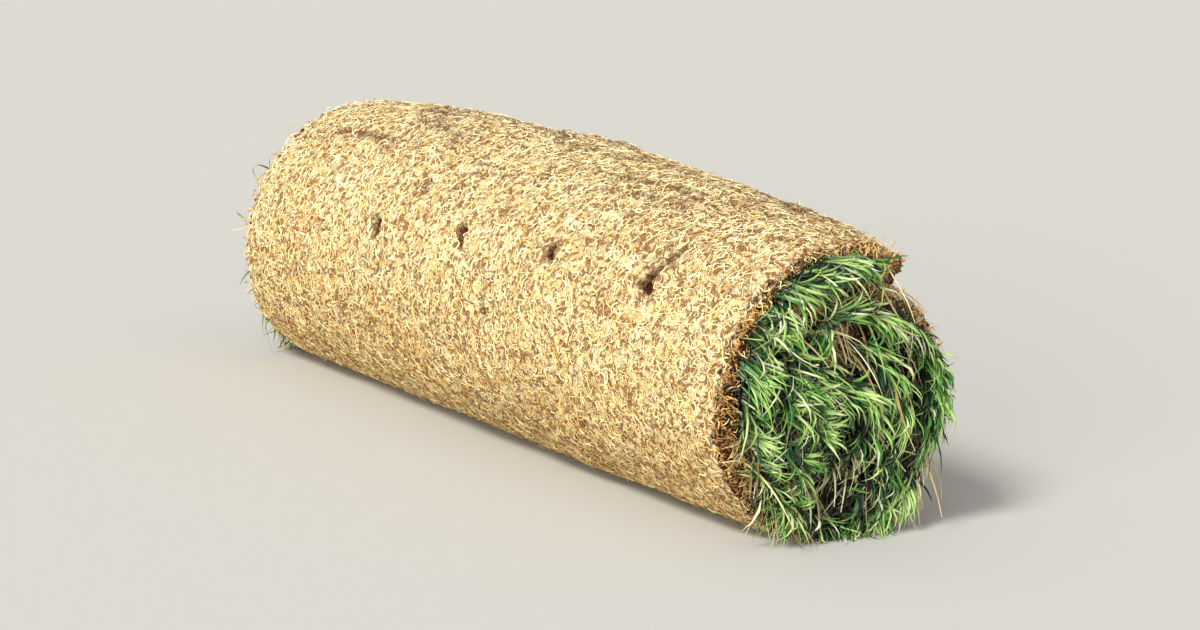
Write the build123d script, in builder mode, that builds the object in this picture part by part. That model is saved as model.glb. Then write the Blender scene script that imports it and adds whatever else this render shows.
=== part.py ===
from build123d import *
from math import ceil, cos, pi, radians, sin, sqrt
import os

# A roll of turf: one strip of sod wound up with its roots outside and its grass inside, lying on the floor.
# The soil and the roots are the mat, wound as a spiral of quarter arcs. Between its turns lies the pressed
# grass, and at both ends the blades spring out as a ridge that follows the same spiral. The strip's outer
# end makes a lip along the top. The roll is thicker half way along, and its weight has settled it below.
# Millimetres, +Z up, the axis along X. The origin is on the floor under the middle of the roll.

# The strip of turf
roll_length = 610.0  # the strip's width, from one cut edge of the mat to the other
mat_thickness = 16.0  # soil and roots
grass_gap = 8.0  # grass pressed between two turns

# The winding
middle_radius = 114.0  # out to the strip's outer end, half way along the roll
end_radius = 106.0  # the same at both ends of the roll
section_count = 7  # sections from end to end, with the outer face straight between them
eye_radius = 2.0  # of the space left inside the tightest bend of the grass
lip_angle = 64.0  # where the strip ends, round from +Y towards +Z
slit_depth = 20.0  # how far the gap under the strip's end is open
settling = 8.0  # how far the floor has pressed the underside in

# The grass that springs out at both ends
grass_reach = 27.0  # past the mat's cut edge
grass_splay = 4.5  # past the gap, over the mat on each side
runs_per_quarter = 9  # straight runs that stand for the ragged bend of the grass

# The pits in the outer face, each by its distance from the end at +X and its angle round from +Y
pit_radius = 5.0
pit_depth = 3.5
pit_sides = 8  # flat sides that stand for a ragged round
row_of_pits = [(105, 147), (214, 148), (318, 151), (419, 158)]
other_pits = [(194, 131), (267, 177), (387, 139), (504, 92)]

pitch = mat_thickness + grass_gap
radius_step = pitch / 4
ridge_half = grass_gap / 2 + grass_splay
line_inset = mat_thickness + grass_gap / 2
line_quarters = (end_radius - line_inset - ridge_half - eye_radius) / radius_step


def around(degrees):
    """The unit vector at an angle round the roll, in the plane of its section."""
    return Vector(cos(radians(degrees)), sin(radians(degrees)))


def lip_radius_at(along):
    """Out to the strip's outer end, where along is 0 half way along the roll and 1 or -1 at its ends."""
    return middle_radius - (middle_radius - end_radius) * along**2


def arc_centre(lip_radius, angle):
    """The point that a quarter turns about: a corner of a small square round the spiral's middle."""
    lowest_corner = around(lip_angle + 135) * radius_step / sqrt(2)
    height = lip_radius - 2 * radius_step - settling - lowest_corner.Y
    return Vector(radius_step, height) + around(angle - 45) * radius_step / sqrt(2)


def draw_spiral(lip_radius, inset, quarters):
    """Draws quarter arcs inward from the lip, each smaller than the one before by the same step."""
    for quarter in range(ceil(quarters)):
        angle = lip_angle + 90 * quarter
        centre = arc_centre(lip_radius, angle)
        turned = 90 * min(1, quarters - quarter)
        CenterArc((centre.X, centre.Y), lip_radius - inset - quarter * radius_step, angle, turned)


def ridge_wall(inset):
    """Points along the spiral at an end of the roll, as far round it as the grass shows."""
    points = []
    for run in range(int(line_quarters * runs_per_quarter) + 1):
        quarter = run // runs_per_quarter
        radius = end_radius - inset - quarter * radius_step
        centre = arc_centre(end_radius, lip_angle + 90 * quarter)
        points.append(centre + radius * around(lip_angle + 90 * run / runs_per_quarter))
    return points


def draw_section(lip_radius):
    """Draws the roll's outline: one turn of the mat's outer face, then the slit under the strip's end."""
    centre = arc_centre(lip_radius, lip_angle)
    upper_radius = lip_radius - mat_thickness
    lower_radius = lip_radius - pitch
    slit_turn = slit_depth / lower_radius * 180 / pi
    slit_end = around(lip_angle + slit_turn)
    draw_spiral(lip_radius, 0, 4)
    CenterArc(centre, lower_radius, lip_angle, slit_turn)
    Line(centre + lower_radius * slit_end, centre + upper_radius * slit_end)
    CenterArc(centre, upper_radius, lip_angle + slit_turn, -slit_turn)
    Line(centre + upper_radius * around(lip_angle), centre + lip_radius * around(lip_angle))


def pit_plane(distance, angle):
    """A plane on the outer face, from the distance to the end at +X and the angle round from +Y."""
    lip_radius = lip_radius_at(1 - 2 * distance / roll_length)
    quarter = int((angle - lip_angle) % 360 / 90)
    centre = arc_centre(lip_radius, lip_angle + 90 * quarter)
    outward = around(angle)
    spot = centre + (lip_radius - quarter * radius_step) * outward
    return Plane((roll_length / 2 - distance, spot.X, spot.Y), z_dir=(0, outward.X, outward.Y))


with BuildPart() as turf_roll:
    # The wound mat, thicker half way along
    for section in range(section_count):
        along = 2 * section / (section_count - 1) - 1
        with BuildSketch(Plane.YZ.offset(along * roll_length / 2)):
            with BuildLine():
                draw_section(lip_radius_at(along))
            make_face()
    loft(ruled=True)

    # Its underside, settled flat on the floor
    split(bisect_by=Plane.XY, keep=Keep.TOP)

    # The pits in the outer face
    for distance, angle in row_of_pits + other_pits:
        with BuildSketch(pit_plane(distance, angle)):
            RegularPolygon(pit_radius, pit_sides)
        extrude(amount=pit_depth, both=True, mode=Mode.SUBTRACT)

    # The grass springing out along the spiral at both ends
    outer_wall = ridge_wall(line_inset - ridge_half)
    inner_wall = ridge_wall(line_inset + ridge_half)
    for side in (1, -1):
        with BuildSketch(Plane.YZ.offset(side * roll_length / 2)):
            with BuildLine():
                Polyline(*outer_wall, *reversed(inner_wall), close=True)
            make_face()
        extrude(amount=side * grass_reach)

turf_roll.part.label = "turf_roll"

os.makedirs("parts", exist_ok=True)
export_step(turf_roll.part, "parts/turf_roll.step")
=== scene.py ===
"""The looks of a roll of turf: its root mat, the roots on it, the crumbs of soil and the grass at both ends.

Each part of the roll is a class, and so is each finish. Sizes are in millimetres and become metres where a
mesh is made. The roll's axis is X, and angles go round it from +Y towards +Z. A place in the strip of turf
has three measures: x along the roll, how far round from the strip's outer end it is turned, in degrees, and
its inset from the mat's outer face.
"""

import logging
import math
from dataclasses import dataclass
from enum import Enum
from itertools import product

import bmesh
import bpy
import numpy as np
from bpy.types import Material, Mesh, Node, NodeSocket, NodeTree, Object
from mathutils import Matrix, Vector


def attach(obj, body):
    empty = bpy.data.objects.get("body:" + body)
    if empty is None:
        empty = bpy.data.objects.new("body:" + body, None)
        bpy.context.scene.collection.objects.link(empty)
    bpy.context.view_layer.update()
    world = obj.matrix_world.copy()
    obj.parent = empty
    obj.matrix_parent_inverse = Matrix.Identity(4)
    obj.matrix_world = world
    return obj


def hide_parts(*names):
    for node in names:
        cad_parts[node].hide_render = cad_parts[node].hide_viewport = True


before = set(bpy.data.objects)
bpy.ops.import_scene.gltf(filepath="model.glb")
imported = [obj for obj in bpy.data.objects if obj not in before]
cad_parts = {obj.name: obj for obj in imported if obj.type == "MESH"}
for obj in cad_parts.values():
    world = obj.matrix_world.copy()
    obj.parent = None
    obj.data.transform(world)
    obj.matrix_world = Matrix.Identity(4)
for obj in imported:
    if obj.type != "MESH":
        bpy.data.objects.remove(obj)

log = logging.getLogger("turf_roll")
Array = np.ndarray
MM = 0.001
AXIS = np.array([1.0, 0, 0])
DOWN = np.array([0, 0, -1.0])


class RollEnd(Enum):
    """An end of the roll, with the way its grass springs out along X."""

    NEAR = 1
    FAR = -1


def linear(hex_colour: str) -> tuple[float, ...]:
    """Turns an sRGB hex colour into the linear one that a shader takes.

    Args:
        hex_colour: The colour as six hex digits after a hash.

    Returns:
        Red, green, blue and alpha, each from 0 to 1.
    """
    parts = [int(hex_colour[start : start + 2], 16) / 255 for start in (1, 3, 5)]
    straight = (part / 12.92 if part <= 0.04045 else ((part + 0.055) / 1.055) ** 2.4 for part in parts)
    return (*straight, 1.0)


def add(tree: NodeTree, kind: str, inputs: dict | tuple = (), **settings) -> Node:
    """Adds a node with its settings and links.

    Args:
        tree: The tree that gets the node.
        kind: The node's type name.
        inputs: Its inputs, in the node's own order or by name or number. Each is a value to hold, or the
            output or the node that it links to, where a node stands for its first output in use.
        **settings: The node's own settings. stops gives a colour ramp's places and hex colours.

    Returns:
        The new node.
    """
    node = tree.nodes.new(kind)
    stops = settings.pop("stops", ())
    for name, value in settings.items():
        setattr(node, name, value)
    while stops and len(node.color_ramp.elements) < len(stops):
        node.color_ramp.elements.new(0.5)
    for number, (place, colour) in enumerate(stops):
        node.color_ramp.elements[number].position = place
        node.color_ramp.elements[number].color = linear(colour)
    for key, value in (inputs if isinstance(inputs, dict) else dict(enumerate(inputs))).items():
        if isinstance(value, Node):
            value = next(output for output in value.outputs if output.enabled)
        if isinstance(value, NodeSocket):
            tree.links.new(value, node.inputs[key])
        else:
            node.inputs[key].default_value = value
    return node


def paint(tree: NodeTree, colour: Node | tuple[float, ...], coats: list[tuple]) -> NodeSocket:
    """Lays coats over a colour, one after another.

    Args:
        tree: The material's tree.
        colour: What lies under them all.
        coats: Each coat's mask, how strong it is where the mask is 1, and its hex colour.

    Returns:
        The painted colour.
    """
    for mask, strength, tint in coats:
        amount = add(tree, "ShaderNodeMath", (mask, strength), operation="MULTIPLY")
        coat = {"Factor": amount, "A": colour, "B": linear(tint)}
        colour = add(tree, "ShaderNodeMix", coat, data_type="RGBA")
    return colour.outputs["Result"]


def new_material(name: str, roughness: float, specular: float = 0.5) -> tuple[Material, NodeTree, Node]:
    """Makes a material with a bare Principled shader.

    Args:
        name: What the material is called.
        roughness: Of its surface.
        specular: How strongly it reflects.

    Returns:
        The material, its node tree and the shader node.
    """
    material = bpy.data.materials.new(name)
    material.use_nodes = True
    shader = material.node_tree.nodes["Principled BSDF"]
    shader.inputs["Roughness"].default_value = roughness
    shader.inputs["Specular IOR Level"].default_value = specular
    return material, material.node_tree, shader


def new_tree(name: str, sockets: tuple[tuple, ...]) -> tuple[NodeTree, bpy.types.NodeOutputs]:
    """Makes a geometry tree that ends in one mesh.

    Args:
        name: What the tree is called.
        sockets: Each input's name, kind and default value.

    Returns:
        The tree and what its inputs give.
    """
    tree = bpy.data.node_groups.new(name, "GeometryNodeTree")
    for title, kind, default in sockets:
        socket = tree.interface.new_socket(name=title, in_out="INPUT", socket_type=f"NodeSocket{kind}")
        if default is not None:
            socket.default_value = default
    tree.interface.new_socket(name="Mesh", in_out="OUTPUT", socket_type="NodeSocketGeometry")
    return tree, add(tree, "NodeGroupInput").outputs


def new_object(name: str, data: Mesh | bpy.types.Light | bpy.types.Camera) -> Object:
    """Makes an object and links it into the scene.

    Args:
        name: What the object is called.
        data: Its mesh, lamp or camera.

    Returns:
        The new object, at the origin.
    """
    thing = bpy.data.objects.new(name, data)
    bpy.context.scene.collection.objects.link(thing)
    return thing


def grow(name: str, carrier: Mesh, tree: NodeTree, values: dict) -> Object:
    """Runs a geometry tree on a carrier mesh and keeps the result as a plain mesh.

    Args:
        name: What the piece is called.
        carrier: The mesh that the tree starts from.
        tree: The geometry tree.
        values: The tree's inputs by name.

    Returns:
        The piece.
    """
    holder = new_object(f"{name}_carrier", carrier)
    modifier = holder.modifiers.new("grow", "NODES")
    modifier.node_group = tree
    for item in tree.interface.items_tree:
        if item.item_type == "SOCKET" and item.in_out == "INPUT" and item.name in values:
            modifier[item.identifier] = values[item.name]
    graph = bpy.context.evaluated_depsgraph_get()
    grown = holder.evaluated_get(graph)
    mesh = bpy.data.meshes.new_from_object(grown, preserve_all_data_layers=True, depsgraph=graph)
    mesh.name = name
    bpy.data.objects.remove(holder)
    mesh.shade_smooth()
    return new_object(name, mesh)


def forget(piece: Object, names: tuple[str, ...]) -> None:
    """Removes attributes that a finished piece no longer needs.

    Args:
        piece: The piece.
        names: The attributes' names, whether or not it has them.
    """
    for name in names:
        if name in piece.data.attributes:
            piece.data.attributes.remove(piece.data.attributes[name])


def around(degrees: Array) -> Array:
    """The unit vectors at some angles round the roll, with their X, Y and Z last."""
    turned = np.radians(degrees)
    return np.stack([np.zeros_like(turned), np.cos(turned), np.sin(turned)], -1)


def unit(vectors: Array) -> Array:
    """The same vectors at length 1."""
    return vectors / np.maximum(np.linalg.norm(vectors, axis=-1, keepdims=True), 1e-9)


@dataclass(frozen=True)
class Relief:
    """Smooth seeded unevenness in space.

    Attributes:
        seed: What its random numbers start from.
        cells: How many of them lie along each side of its lattice before they repeat.
    """

    seed: int
    cells: int = 32

    def at(self, points: Array, spacing: float) -> Array:
        """Reads the relief at some points.

        Args:
            points: Places in millimetres, with their three coordinates last.
            spacing: The distance between bumps in millimetres.

        Returns:
            A height from -1 to 1 for each point.
        """
        lattice = np.random.default_rng(self.seed).uniform(-1, 1, (self.cells,) * 3)
        scaled = np.asarray(points) / spacing
        cell = np.floor(scaled).astype(int)
        part = scaled - cell
        part = part * part * (3 - 2 * part)
        height = np.zeros(scaled.shape[:-1])
        for corner in product((0, 1), repeat=3):
            weight = np.ones_like(height)
            for axis, step in enumerate(corner):
                weight = weight * (part[..., axis] if step else 1 - part[..., axis])
            spot = (cell + corner) % self.cells
            height = height + weight * lattice[spot[..., 0], spot[..., 1], spot[..., 2]]
        return height


@dataclass(frozen=True)
class Winding:
    """How the strip of turf is wound, as in the part's solid.

    Attributes:
        roll_length: The strip's width, from one cut edge of the mat to the other.
        mat_thickness: The thickness of the soil and roots.
        grass_gap: The thickness of the grass pressed between two turns.
        middle_radius: Out to the strip's outer end, half way along the roll.
        end_radius: The same at both ends of the roll.
        lip_angle: Where the strip ends.
        settling: How far the floor has pressed the underside in.
        wander: How far the turns stray from a true spiral.
        wander_spacing: The distance from one stray to the next.
        calm_height: How high above the floor they are free to stray up and down.
        floor_bend: How gently they bend where the floor stops them.
    """

    roll_length: float = 610.0
    mat_thickness: float = 16.0
    grass_gap: float = 8.0
    middle_radius: float = 114.0
    end_radius: float = 106.0
    lip_angle: float = 64.0
    settling: float = 8.0
    wander: float = 2.2
    wander_spacing: float = 75.0
    calm_height: float = 45.0
    floor_bend: float = 2.5

    @property
    def half(self) -> float:
        """Half the roll's length."""
        return self.roll_length / 2

    @property
    def pitch(self) -> float:
        """The distance from one turn to the next."""
        return self.mat_thickness + self.grass_gap

    def lip_radius(self, x: Array) -> Array:
        """Out to the strip's outer end at some places along the roll, in millimetres."""
        along = np.clip(2 * x / self.roll_length, -1, 1)
        return self.middle_radius - (self.middle_radius - self.end_radius) * along**2

    def reach(self, x: Array, turned: Array, inset: Array | float) -> Array:
        """The distance to places in the strip from the centres of their quarter turns, in millimetres."""
        return self.lip_radius(x) - inset - np.maximum(np.floor(turned / 90), 0) * self.pitch / 4

    def middle(self, x: Array) -> Array:
        """Finds the middle of the spiral.

        Args:
            x: Places along the roll.

        Returns:
            Its coordinates there in millimetres.
        """
        x = np.asarray(x, float)
        step = self.pitch / 4
        lowest = around(np.array(self.lip_angle + 135.0))[2] * step / math.sqrt(2)
        height = self.lip_radius(x) - 2 * step - self.settling - lowest
        return np.stack([x, np.full(x.shape, step), height], -1)

    def outside(self, points: Array) -> Array:
        """Measures how far points at the roll's ends lie outside its outer face.

        Args:
            points: Their coordinates in millimetres.

        Returns:
            Their distances from the face, below 0 inside it.
        """
        end = np.full(points.shape[:-1], self.half)
        off = points - self.middle(end)
        turned = (np.degrees(np.arctan2(off[..., 2], off[..., 1])) - self.lip_angle) % 360
        face = self.place(end, turned, 0) - self.middle(end)
        return np.hypot(off[..., 1], off[..., 2]) - np.hypot(face[..., 1], face[..., 2])

    def place(self, x: Array | float, turned: Array | float, inset: Array | float) -> Array:
        """Finds places of the wound strip in space.

        Args:
            x: Where they are along the roll.
            turned: How far round from the strip's outer end.
            inset: How far in from the mat's outer face.

        Returns:
            Their coordinates in millimetres.
        """
        x, turned, inset = np.broadcast_arrays(*(np.asarray(value, float) for value in (x, turned, inset)))
        quarter = np.maximum(np.floor(turned / 90), 0)
        corner = around(self.lip_angle + 90 * quarter - 45) * self.pitch / 4 / math.sqrt(2)
        spot = corner + self.reach(x, turned, inset)[..., None] * around(self.lip_angle + turned)
        spot = spot + self.middle(x)
        free = np.clip(spot[..., 2] / self.calm_height, 0, 1)
        across, upward = (Relief(seed).at(spot, self.wander_spacing) for seed in (3, 4))
        spot = spot + self.wander * np.stack([np.zeros_like(x), across, upward * free], -1)
        spot[..., 2] = (spot[..., 2] + np.sqrt(spot[..., 2] ** 2 + self.floor_bend**2)) / 2
        return spot


@dataclass(frozen=True)
class Pit:
    """A pit in the mat's outer face.

    Attributes:
        distance: From the near end.
        angle: Round from +Y.
        width: Of its mouth along the roll.
        height: Of its mouth round the roll.
        depth: Below the face.
    """

    distance: float
    angle: float
    width: float
    height: float
    depth: float


@dataclass(frozen=True)
class Furrow:
    """A line pressed or torn into the mat's outer face.

    Attributes:
        course: Its points, each a distance from the near end and an angle round from +Y.
        width: Of the furrow.
        depth: Below the face.
        swell: How far the face stands up beside it, on the side nearer the lip.
        worn: The share of its depth that has lost its roots and is painted dark with the pit's colour, as the
            soil there and as shade in the furrow.
    """

    course: tuple[tuple[float, float], ...]
    width: float
    depth: float
    swell: float = 0.0
    worn: float = 1.0


@dataclass(frozen=True)
class Patch:
    """A round patch on an end of the roll.

    Attributes:
        y: Its middle's place across the roll.
        z: Its middle's height above the floor.
        radius: How far it reaches.
        strength: How much it does in its middle.
    """

    y: float
    z: float
    radius: float
    strength: float = 1.0

    def cover(self, points: Array) -> Array:
        """What the patch does at some points: its strength in its middle, and less further out."""
        out = np.hypot(points[..., 1] - self.y, points[..., 2] - self.z)
        return self.strength * np.exp(-((out / self.radius) ** 2))


@dataclass(frozen=True)
class RootMatFinish:
    """The soil and roots of cut turf: a felt of dry, straw-coloured roots over sandy soil.

    The sod cutter shears it off the ground, so its face is matt and rough all over: pale where the roots have
    dried, and darker in the short curled gaps between them, where the soil's colour is deepened with painted
    shade. Along the top the bend has drawn it into fine long creases, which are painted dark as shade. The
    top is painted paler, as light from above and as sun-bleaching, and the underside darker and more orange,
    as painted shade.

    Attributes:
        gaps: The colour between the roots: the soil there, deepened with painted shade. The creases and the
            grains take it too.
        felt: Its middle tone.
        dry: The palest roots.
        rusty: The damper patches, and the painted shade towards the underside.
        soil: The cut edge.
        thatch: A near-black painted shade where the dead grass lies between the turns, and in the inner turns
            and the eye at the ends.
        pit: The bottom of a pit and of a worn furrow: the soil there, deepened with painted shade.
        gap_spacing: The distance between gaps.
        crease_spacing: The distance between the creases along the top.
        root_spacing: The distance between roots, coarser than real to show.
        grain_spacing: The distance between grains of soil, coarser than real to show.
        relief: How far the roots stand out of the gaps.
    """

    gaps: str = "#87501A"
    felt: str = "#FADD9A"
    dry: str = "#FFF3C2"
    rusty: str = "#EEB468"
    soil: str = "#4C2D1A"
    thatch: str = "#0B0E07"
    pit: str = "#552B12"
    gap_spacing: float = 6.0
    crease_spacing: float = 9.0
    root_spacing: float = 4.4
    grain_spacing: float = 2.2
    relief: float = 1.4

    def curls(self, tree: NodeTree, place: NodeSocket, spacing: float, width: float) -> Node:
        """Draws thin curled lines, where noise crosses its middle.

        Args:
            tree: The material's tree.
            place: The coordinates to draw in.
            spacing: The distance between lines in millimetres.
            width: About a line's width in millimetres.

        Returns:
            A mask that is 1 on the lines.
        """
        shift = (spacing, 0.3 * spacing, -spacing)
        moved = add(tree, "ShaderNodeVectorMath", (place, shift), operation="ADD")
        pattern = {"Vector": moved, "Scale": 1 / (spacing * MM), "Detail": 1.5, "Distortion": 0.6}
        noise = add(tree, "ShaderNodeTexNoise", pattern)
        centred = add(tree, "ShaderNodeMath", (noise, 0.5), operation="SUBTRACT")
        folded = add(tree, "ShaderNodeMath", (centred,), operation="ABSOLUTE")
        line = (folded, 0.1 * width / spacing, 0.5 * width / spacing, 1.0, 0.0)
        return add(tree, "ShaderNodeMapRange", line, interpolation_type="SMOOTHSTEP")

    def creased(self, tree: NodeTree, place: NodeSocket, height: NodeSocket) -> Node:
        """Draws the creases that run along the roll, which come and go and fade down its sides. The finish
        paints them dark as shade.

        Args:
            tree: The material's tree.
            place: The coordinates to draw in.
            height: The height above the floor in metres.

        Returns:
            A mask that is 1 in the creases.
        """
        wobble = add(tree, "ShaderNodeTexNoise", {"Vector": place, "Scale": 55.0, "Detail": 2.0})
        drawn = (wobble.outputs["Color"], (0.0, 0.014, 0.014), place)
        drawn = add(tree, "ShaderNodeVectorMath", drawn, operation="MULTIPLY_ADD")
        drawn = add(tree, "ShaderNodeVectorMath", (drawn, (0.13, 1.0, 1.0)), operation="MULTIPLY")
        cells = {"Vector": drawn, "Scale": 1 / (self.crease_spacing * MM)}
        rim = add(tree, "ShaderNodeTexVoronoi", cells, feature="DISTANCE_TO_EDGE")
        lines = (rim, 0.03, 0.15, 1.0, 0.0)
        creases = add(tree, "ShaderNodeMapRange", lines, interpolation_type="SMOOTHSTEP")
        worn = add(tree, "ShaderNodeTexNoise", {"Vector": place, "Scale": 60.0, "Detail": 1.0})
        for limits in ((worn, 0.36, 0.5), (height, 0.135, 0.19)):
            kept = add(tree, "ShaderNodeMapRange", limits)
            creases = add(tree, "ShaderNodeMath", (creases, kept), operation="MULTIPLY")
        return creases

    def build(self) -> Material:
        """Makes the material.

        Returns:
            The material.
        """
        material, tree, shader = new_material("root_mat_cut_turf", 0.92, 0.2)
        place = add(tree, "ShaderNodeTexCoord").outputs["Object"]
        height = add(tree, "ShaderNodeSeparateXYZ", (place,)).outputs["Z"]
        roots = self.curls(tree, place, self.root_spacing, 1.6)
        grains = self.curls(tree, place, self.grain_spacing, 0.8)
        creases = self.creased(tree, place, height)

        # The gaps come and go along their lines, and are painted dark as the soil and the shade between the
        # roots
        breaks = add(tree, "ShaderNodeTexNoise", {"Vector": place, "Scale": 170.0, "Detail": 1.0})
        broken = add(tree, "ShaderNodeMapRange", (breaks, 0.34, 0.46))
        gaps = self.curls(tree, place, self.gap_spacing, 1.3)
        gaps = add(tree, "ShaderNodeMath", (gaps, broken), operation="MULTIPLY")

        # The mat is rusty in patches, is painted darker and more orange towards the underside as shade, and
        # is painted paler along the top as light from above and as sun-bleaching
        patches = add(tree, "ShaderNodeTexNoise", {"Vector": place, "Scale": 20.0, "Detail": 2.0})
        damp = add(tree, "ShaderNodeMapRange", (patches, 0.48, 0.7, 0.0, 0.35))
        low = add(tree, "ShaderNodeMapRange", (height, 0.12, 0.0, 0.0, 0.2))
        low_shade_and_damp = add(tree, "ShaderNodeMath", (low, damp), operation="ADD", use_clamp=True)
        bleached_and_lit_top = add(tree, "ShaderNodeMapRange", (height, 0.11, 0.2))

        # Painted shade also darkens the creases and the gaps between the roots
        coats = [
            (bleached_and_lit_top, 0.85, self.dry),
            (roots, 1.0, self.dry),
            (low_shade_and_damp, 1.0, self.rusty),
            (grains, 0.32, self.gaps),
            (creases, 0.46, self.gaps),
            (gaps, 0.85, self.gaps),
        ]
        # The thatch's near-black and the pits' dark brown are painted shade in the gaps, the inner turns, the
        # eye, the pits and the worn furrows
        for name, tint in (("cut", self.soil), ("thatch", self.thatch), ("pit", self.pit)):
            mask = add(tree, "ShaderNodeAttribute", attribute_name=name).outputs["Fac"]
            coats.append((mask, 1.0, tint))
        tree.links.new(paint(tree, linear(self.felt), coats), shader.inputs["Base Color"])

        # The roots stand up, and the gaps, the creases and the spaces between grains are sunk
        raised = add(tree, "ShaderNodeMath", (roots, gaps), operation="SUBTRACT")
        for mask, share in ((creases, -0.8), (grains, -0.4)):
            raised = add(tree, "ShaderNodeMath", (mask, share, raised), operation="MULTIPLY_ADD")
        bump = add(tree, "ShaderNodeBump", {"Height": raised, "Strength": 1.0, "Distance": self.relief * MM})
        tree.links.new(bump.outputs["Normal"], shader.inputs["Normal"])
        return material


@dataclass(frozen=True)
class StrandFinish:
    """A finish for blades or roots, whose tone differs from one to the next.

    Attributes:
        name: What the material is called.
        tones: Places from 0 to 1 and their colours.
        foot: The colour at the strand's foot, which on the near grass is painted shade deep in the pile.
        tip: The colour at its tip, which on the near grass is a painted highlight.
        roughness: Of the surface.
        specular: How strongly it reflects.
        dim: How far along the strand the foot's colour reaches.
        rib: How much paler its middle line is than its edges, a painted highlight that stands in for the
            shading of a folded blade.
    """

    name: str
    tones: tuple[tuple[float, str], ...]
    foot: str
    tip: str
    roughness: float
    specular: float
    dim: float = 0.2
    rib: float = 1.35

    def build(self) -> Material:
        """Makes the material.

        Returns:
            The material.
        """
        material, tree, shader = new_material(self.name, self.roughness, self.specular)
        tone, along, across = (
            add(tree, "ShaderNodeAttribute", attribute_name=name).outputs["Fac"]
            for name in ("tone", "along", "across")
        )
        body = add(tree, "ShaderNodeValToRGB", (tone,), stops=self.tones)
        # The foot and the tip take their own colours: on the near grass, painted shade low in the pile and a
        # painted highlight
        foot = add(tree, "ShaderNodeMapRange", (along, self.dim, 0.0))
        tip = add(tree, "ShaderNodeMapRange", (along, 0.8, 1.0))
        colour = paint(tree, body, [(foot, 0.85, self.foot), (tip, 0.6, self.tip)])
        # The middle line is painted paler, a highlight that stands in for the shading of a folded blade
        middle = add(tree, "ShaderNodeMath", (across,), operation="ABSOLUTE")
        rib = add(tree, "ShaderNodeMapRange", (middle, 0.25, 0.0, 1.0, self.rib))
        lit = add(tree, "ShaderNodeVectorMath", {0: colour, "Scale": rib}, operation="SCALE")
        tree.links.new(lit.outputs["Vector"], shader.inputs["Base Color"])
        return material


# Living grass is waxy, so it is satin. Its blades are painted dark at the foot, as shade deep in the pile,
# and pale at the tip, as a painted highlight; the near-black tones are painted shade on the blades that lie
# deep.
NEAR_GRASS = StrandFinish(
    "grass_blade_green",
    (
        (0.0, "#030805"),
        (0.2, "#08190F"),
        (0.38, "#195028"),
        (0.52, "#3F8C2C"),
        (0.66, "#82BE48"),
        (0.82, "#C8DE90"),
        (1.0, "#F6F6DC"),
    ),
    foot="#0C1208",
    tip="#CFDD94",
    roughness=0.4,
    specular=0.5,
    dim=0.55,
)
# At the far end the sun has paled it, so it is duller and yellower.
FAR_GRASS = StrandFinish(
    "grass_blade_pale",
    ((0.0, "#33521F"), (0.3, "#5A8238"), (0.55, "#8CA850"), (0.78, "#BFC47C"), (1.0, "#E3D5A0")),
    foot="#5C5630",
    tip="#D3C68C",
    roughness=0.5,
    specular=0.35,
    dim=0.4,
)
# Dead blades and stems have dried to straw, and are matt.
STRAW = StrandFinish(
    "dry_straw",
    ((0.0, "#8F7447"), (0.4, "#BFA66C"), (0.75, "#DFD0A0"), (1.0, "#F2EBCB")),
    foot="#A88C5A",
    tip="#E8DDB4",
    roughness=0.6,
    specular=0.3,
)
# Roots are fine threads, pale where they have dried and dusty with soil elsewhere. Their darkest tones also
# serve as painted shade, on the dark roots that stand for the shadows between clumps of roots.
ROOTS = StrandFinish(
    "root_thread",
    ((0.0, "#80521C"), (0.25, "#B9853E"), (0.5, "#EEC676"), (0.75, "#FEE7A2"), (1.0, "#FFF6CE")),
    foot="#E4C07A",
    tip="#F6E0A8",
    roughness=0.85,
    specular=0.2,
)


@dataclass(frozen=True)
class CrumbFinish:
    """Loose crumbs of sandy topsoil, dull and a little lighter where they have dried.

    Attributes:
        tones: Places from 0 to 1 and their colours, from damp crumbs to dry ones.
        ruddy: The colour of the crumbs of redder subsoil.
        ruddy_spot: The middle of where those lie, in metres.
        ruddy_reach: How far from there the last of them lie, and how far out all are ruddy, in metres.
        grain_spacing: The distance between grains of sand, coarser than real to show.
        speckle: How much the grains differ in tone.
    """

    tones: tuple[tuple[float, str], ...] = (
        (0.0, "#1E110A"),
        (0.35, "#3E2415"),
        (0.65, "#6A4226"),
        (0.88, "#A8703D"),
        (1.0, "#D8A870"),
    )
    ruddy: str = "#A5705C"
    ruddy_spot: tuple[float, float, float] = (0.305, 0.035, 0.198)
    ruddy_reach: tuple[float, float] = (0.055, 0.02)
    grain_spacing: float = 1.111
    speckle: float = 0.3

    def build(self) -> Material:
        """Makes the material.

        Returns:
            The material.
        """
        material, tree, shader = new_material("soil_crumbs", 0.95)
        tone = add(tree, "ShaderNodeAttribute", attribute_name="tone").outputs["Fac"]
        place = add(tree, "ShaderNodeTexCoord").outputs["Object"]
        pattern = {"Vector": place, "Scale": 1 / (self.grain_spacing * MM), "Detail": 2.0}
        grain = add(tree, "ShaderNodeTexNoise", pattern)
        shade = add(tree, "ShaderNodeMath", (grain, self.speckle, tone), operation="MULTIPLY_ADD")
        shade = add(tree, "ShaderNodeMath", (shade, self.speckle / 2), operation="SUBTRACT")
        colour = add(tree, "ShaderNodeValToRGB", (shade,), stops=self.tones)
        away = add(tree, "ShaderNodeVectorMath", (place, self.ruddy_spot), operation="DISTANCE")
        red = add(tree, "ShaderNodeMapRange", (away, *self.ruddy_reach))
        tree.links.new(paint(tree, colour, [(red, 0.45, self.ruddy)]), shader.inputs["Base Color"])
        bump = add(tree, "ShaderNodeBump", {"Height": grain, "Strength": 0.5, "Distance": 0.0005})
        tree.links.new(bump.outputs["Normal"], shader.inputs["Normal"])
        return material


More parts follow.
